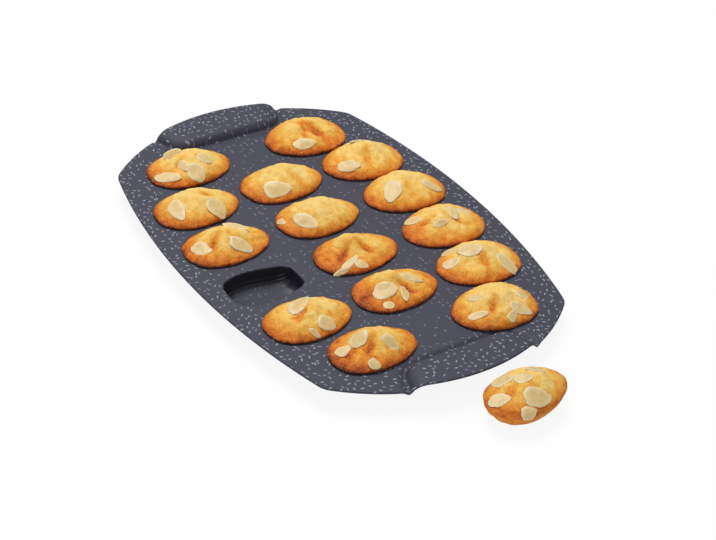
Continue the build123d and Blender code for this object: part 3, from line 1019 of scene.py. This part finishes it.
def almond_flake():
    """Cream nut flesh, paler towards its edge"""
    material, tree = new_material("sliced_almond_flesh")
    place = add_node(tree, "ShaderNodeTexCoord").outputs["Object"]
    edge = add_node(tree, "ShaderNodeAttribute", attribute_name="pale_edge").outputs["Fac"]
    cloud = noise_level(tree, place, cloud_mm, detail=2)
    flesh = mixed(tree, cloud, paint(nut_dark), paint(nut_pale))
    end_in_surface(tree, cloud, cloud_strength, cloud_depth_mm, {
        "Base Color": mixed(tree, edge, flesh, paint(nut_edge_pale)), "Roughness": 0.42, "IOR": 1.46,
        "Subsurface Weight": nut_glow_share, "Subsurface Scale": 1.0,
        "Subsurface Radius": [depth * mm for depth in nut_glow_mm]})
    return material


def drop_onto(crown_tree, points, face):
    """How far along a face direction the cake's surface lies from each point"""
    depths = []
    for point in points:
        start = Vector(point + face * ray_reach) * mm
        hit = crown_tree.ray_cast(start, Vector(-face), 2 * ray_reach * mm)
        depths.append(ray_reach - hit[3] / mm if hit[0] else np.nan)
    depths = np.array(depths)
    return np.where(np.isnan(depths), np.nanmin(depths), depths)


def seat_on(crown_tree, middle):
    """A place brought to the height of the crown there, and the upright of the crown's slope"""
    round_about = [middle + slope_reach * np.array((cos(a), sin(a), 0))
                   for a in np.linspace(0, 2 * pi, slope_spots, endpoint=False)]
    heights = drop_onto(crown_tree, round_about, np.array((0.0, 0.0, 1.0)))
    sums = np.column_stack((np.array(round_about)[:, :2] - middle[:2], np.ones(slope_spots)))
    slope = np.linalg.lstsq(sums, heights, rcond=None)[0]
    upright = np.array((-slope[0], -slope[1], 1.0))
    return middle + (0, 0, slope[2]), upright / np.linalg.norm(upright)


def slice_leaf(spot, place, level, half_width, crown_tree, seed):
    """Points of one flake laid on its cake"""
    along, across, turn, tip, length_share, width_share = spot
    turn, tip = radians(turn), radians(tip)
    local_x = across * half_width * float(smooth_between(crown_width_shares, along))
    middle = turn_about(np.array([[local_x, along * cake_length / 2, 0.0]]), place, level)[0]
    middle, upright = seat_on(crown_tree, middle)
    plan_angle = pi / 2 - turn + place[2]
    long = np.array((cos(plan_angle), sin(plan_angle), 0.0))
    long -= upright * (long @ upright)
    long /= np.linalg.norm(long)
    face = upright * cos(tip) + np.cross(long, upright) * sin(tip)
    short = np.cross(face, long)
    half_long = flake_length * length_share / 2
    half_short = flake_width * width_share / 2
    angles = np.linspace(0, 2 * pi, leaf_columns, endpoint=False)
    wobble = np.array([1 + sum(
        share * noise.noise(Vector((cos(a) * bends, sin(a) * bends, seed * step)))
        for share, bends, step in wobbles) for a in angles])
    outline_long = half_long * np.cos(angles) * wobble
    outline_short = half_short * np.sin(angles) * (1 - flake_taper_share * np.cos(angles)) * wobble
    places = (middle + np.outer(np.resize(outline_long, len(leaf_rings)) * leaf_rings, long)
              + np.outer(np.resize(outline_short, len(leaf_rings)) * leaf_rings, short))
    if tip < standing_tip:
        under = drop_onto(crown_tree, places, face)
        held = np.clip(under, np.median(under) - half_short / 2, np.median(under) + half_short / 2)
        level_under = np.median(held)
        places += np.outer(level_under + (held - level_under) * leaf_bend_share + leaf_lift, face)
    else:
        places += short * np.sign(short[2]) * half_short * standing_rise_share
    halves = np.outer(0.5 - leaf_rounding, face) * leaf_thickness
    return np.concatenate((places + halves, (places - halves)[leaf_columns:]))


# Every leaf has the same faces: rings round a middle point, above and again below, where the
# outermost ring is shared
ring_sizes = [leaf_columns] * (len(leaf_ring_shares) - 1) + [1]
leaf_rings, leaf_rounding, leaf_paleness = (
    np.repeat(shares, ring_sizes) for shares in (leaf_ring_shares, leaf_round_shares, leaf_pale_edge_shares))
leaf_paleness = np.concatenate((leaf_paleness, leaf_paleness[leaf_columns:]))
above = np.arange(len(leaf_rings) - 1).reshape(-1, leaf_columns).tolist()
shift = len(leaf_rings) - leaf_columns
below = [above[0]] + [[n + shift for n in ring] for ring in above[1:]]
leaf_faces = []
for rings, centre in ((above, len(leaf_rings) - 1), (below, len(leaf_rings) - 1 + shift)):
    for before, after in zip(rings, rings[1:]):
        leaf_faces += strip_faces(before, after)
    leaf_faces += [(one, following, centre)
                   for one, following in zip(rings[-1], rings[-1][1:] + rings[-1][:1])]

almond = almond_flake()
leaf_total = 0
for name in cake_names:
    body = cakes[name].data
    crown_tree = BVHTree.FromPolygons([vertex.co.copy() for vertex in body.vertices],
                                      [tuple(polygon.vertices) for polygon in body.polygons])
    points, faces = [], []
    for spot in flake_shares[name]:
        faces += [[n + len(points) for n in face] for face in leaf_faces]
        points.extend(slice_leaf(spot, *seats[name], half_crown(name), crown_tree, leaf_total))
        leaf_total += 1
    paleness = np.resize(leaf_paleness, len(points))
    leaves = mesh_piece("flaked_almonds_" + name, points, faces, almond, {"pale_edge": paleness})
    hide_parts("almonds_" + name)
    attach(leaves, "cake_" + name)
print(leaf_total, "flakes of almond")

# %% [markdown]
# A pale floor, a large soft lamp over the far left of the tray, a weaker one at the near right
# and an even white world make the plain studio light. The photograph's background is white
# paper, so the floor shows mostly as plain white to the camera and to reflections, and keeps
# the shadow faintly. It lies a hair below the cups' flat feet, so that no two faces coincide.

# %% Floor, light and world
floor_half = 3.0
floor_drop = 0.15 * mm
floor_white = "#F4F4F4"
floor_glow_share = 0.9
white = (1, 1, 1, 1)
world_strength = 0.32

# The lamps: place, side and power in watts
softboxes = {"key_softbox": ((-0.85, 0.15, 2.1), 1.2, 39), "fill_softbox": ((1.2, -1.3, 1.3), 1.6, 9)}


def seen_directly(tree):
    """1 for rays from the camera, from a gloss or through something clear"""
    rays = add_node(tree, "ShaderNodeLightPath").outputs
    either = maths(tree, "MAXIMUM", rays["Is Camera Ray"], rays["Is Glossy Ray"])
    return maths(tree, "MAXIMUM", either, rays["Is Transmission Ray"])


paper, paper_tree = new_material("matt_white_paper")
paper_mix = add_node(paper_tree, "ShaderNodeMixShader", {
    0: maths(paper_tree, "MULTIPLY", seen_directly(paper_tree), floor_glow_share),
    1: add_node(paper_tree, "ShaderNodeBsdfDiffuse", {"Color": paint(floor_white)}).outputs[0],
    2: add_node(paper_tree, "ShaderNodeEmission", {"Color": white, "Strength": 1}).outputs[0]})
add_node(paper_tree, "ShaderNodeOutputMaterial", {"Surface": paper_mix.outputs[0]})
floor_corners = [(side * floor_half, end * floor_half, -floor_drop)
                 for side, end in ((-1, -1), (1, -1), (1, 1), (-1, 1))]
floor_mesh = bpy.data.meshes.new("floor")
floor_mesh.from_pydata(floor_corners, [], [(0, 1, 2, 3)])
floor_mesh.materials.append(paper)
floor = add_object("floor", floor_mesh)
floor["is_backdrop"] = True

for name, (place, size, power) in softboxes.items():
    lamp = add_object(name, bpy.data.lights.new(name, "AREA"))
    lamp.data.size = size
    lamp.data.energy = power
    lamp.location = place
    lamp.rotation_euler = (-Vector(place)).to_track_quat("-Z", "Y").to_euler()

world = bpy.data.worlds.new("studio")
bpy.context.scene.world = world
world.use_nodes = True
world_tree = world.node_tree
world_tree.nodes.clear()
even_light, white_back = (
    add_node(world_tree, "ShaderNodeBackground", {"Color": white, "Strength": strength}).outputs[0]
    for strength in (world_strength, 1))
seen = add_node(world_tree, "ShaderNodeLightPath").outputs["Is Camera Ray"]
world_mix = add_node(world_tree, "ShaderNodeMixShader", {0: seen, 1: even_light, 2: white_back})
add_node(world_tree, "ShaderNodeOutputWorld", {"Surface": world_mix.outputs[0]})
bpy.context.scene.view_settings.view_transform = "Standard"
print("lamps and floor ready")

# %% [markdown]
# The last cell finds the box round what is shown and prints it.

# %% Print the size of what is shown
low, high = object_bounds()
print("visual box from", tuple(low), "to", tuple(high))
